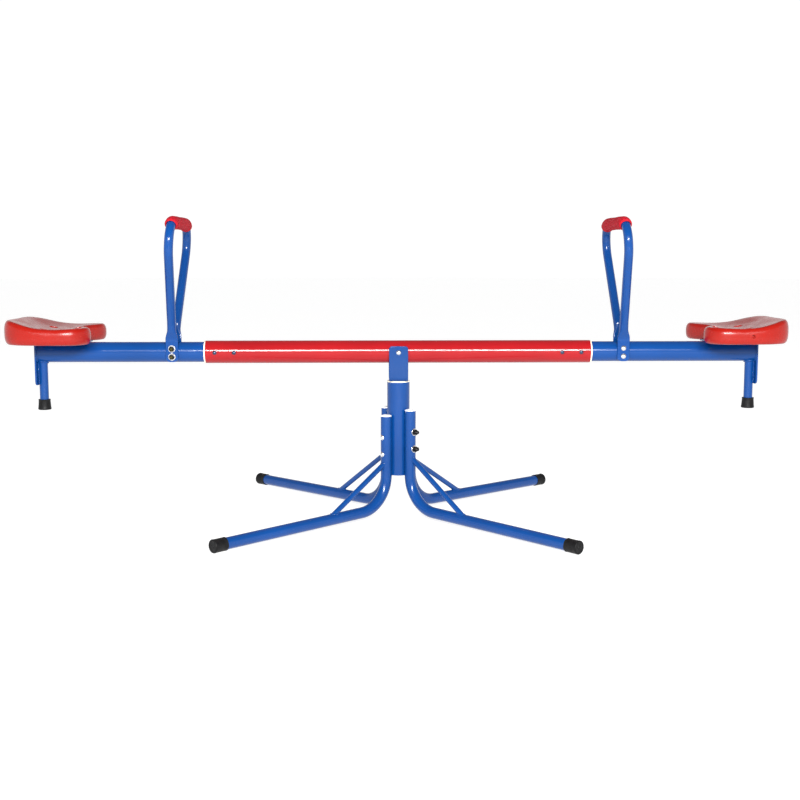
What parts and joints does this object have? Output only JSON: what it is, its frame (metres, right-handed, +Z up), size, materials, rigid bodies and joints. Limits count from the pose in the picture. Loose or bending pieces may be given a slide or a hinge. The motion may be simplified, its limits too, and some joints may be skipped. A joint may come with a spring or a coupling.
{
  "type": "swivelling seesaw",
  "caption": "Two-seat seesaw whose beam tips on a bolt and swivels on a short post with splayed tube legs; moulded seats and padded bail handles.",
  "frame": {"origin": "on the floor below the centre of the post", "axes": "+X along the beam, +Z up; the front is -Y"},
  "size_m": [1.9236, 0.8648, 0.7533],
  "materials": {
    "blue_paint": "glossy powder coat",
    "red_paint": "glossy powder coat",
    "red_plastic": "glossy moulded plastic",
    "red_foam": "soft matte foam",
    "black_rubber": "satin moulded rubber",
    "white_plastic": "satin",
    "nylon": "satin",
    "zinc_steel": "bright zinc plate",
    "black_steel": "black oxide",
    "blued_steel": "blue-black plate",
    "bare_steel": "turned steel"
  },
  "bodies": {
    "base": {"post_tube": "blue_paint", "bush_upper": "nylon", "bush_lower": "nylon", "leg_front_left": "blue_paint", "leg_front_right": "blue_paint", "leg_rear_left": "blue_paint", "leg_rear_right": "blue_paint", "leg_brace_front_left": "blue_paint", "leg_brace_front_right": "blue_paint", "leg_brace_rear_left": "blue_paint", "leg_brace_rear_right": "blue_paint", "leg_cap_front_left": "black_rubber", "leg_cap_front_right": "black_rubber", "leg_cap_rear_left": "black_rubber", "leg_cap_rear_right": "black_rubber", "leg_plug_front_left": "white_plastic", "leg_plug_front_right": "white_plastic", "leg_plug_rear_left": "white_plastic", "leg_plug_rear_right": "white_plastic", "leg_bolts": "zinc_steel", "leg_washers": "zinc_steel", "leg_nuts": "black_steel"},
    "swivel": {"swivel_bracket": "blue_paint", "spindle": "bare_steel", "spindle_washer": "zinc_steel", "spindle_bolt": "zinc_steel", "pivot_bolt": "zinc_steel", "pivot_washer": "zinc_steel", "pivot_nut": "zinc_steel"},
    "beam": {"centre_tube": "red_paint", "pivot_sleeve": "bare_steel", "joint_sleeve_left": "nylon", "joint_sleeve_right": "nylon", "arm_tube_left": "blue_paint", "arm_tube_right": "blue_paint", "end_plate_left": "blue_paint", "end_plate_right": "blue_paint", "foot_tube_left": "blue_paint", "foot_tube_right": "blue_paint", "foot_cap_left": "black_rubber", "foot_cap_right": "black_rubber", "seat_plate_left": "blue_paint", "seat_plate_right": "blue_paint", "seat_left": "red_plastic", "seat_right": "red_plastic", "handle_left": "blue_paint", "handle_right": "blue_paint", "grip_left": "red_foam", "grip_right": "red_foam", "joint_bolts": "blued_steel", "joint_nuts": "blued_steel", "seat_bolts": "zinc_steel", "seat_washers": "zinc_steel", "seat_nuts": "zinc_steel", "handle_bolts": "zinc_steel", "handle_washers": "zinc_steel", "handle_nuts": "black_steel"}
  },
  "joints": [
    {"name": "swivel", "type": "hinge", "parent": "base", "child": "swivel", "pos_m": [0, 0, 0.342], "axis": [0, 0, 1], "continuous": true},
    {"name": "teeter", "type": "hinge", "parent": "swivel", "child": "beam", "pos_m": [0, 0, 0.418], "axis": [0, 1, 0], "range_deg": [-18, 18]}
  ]
}
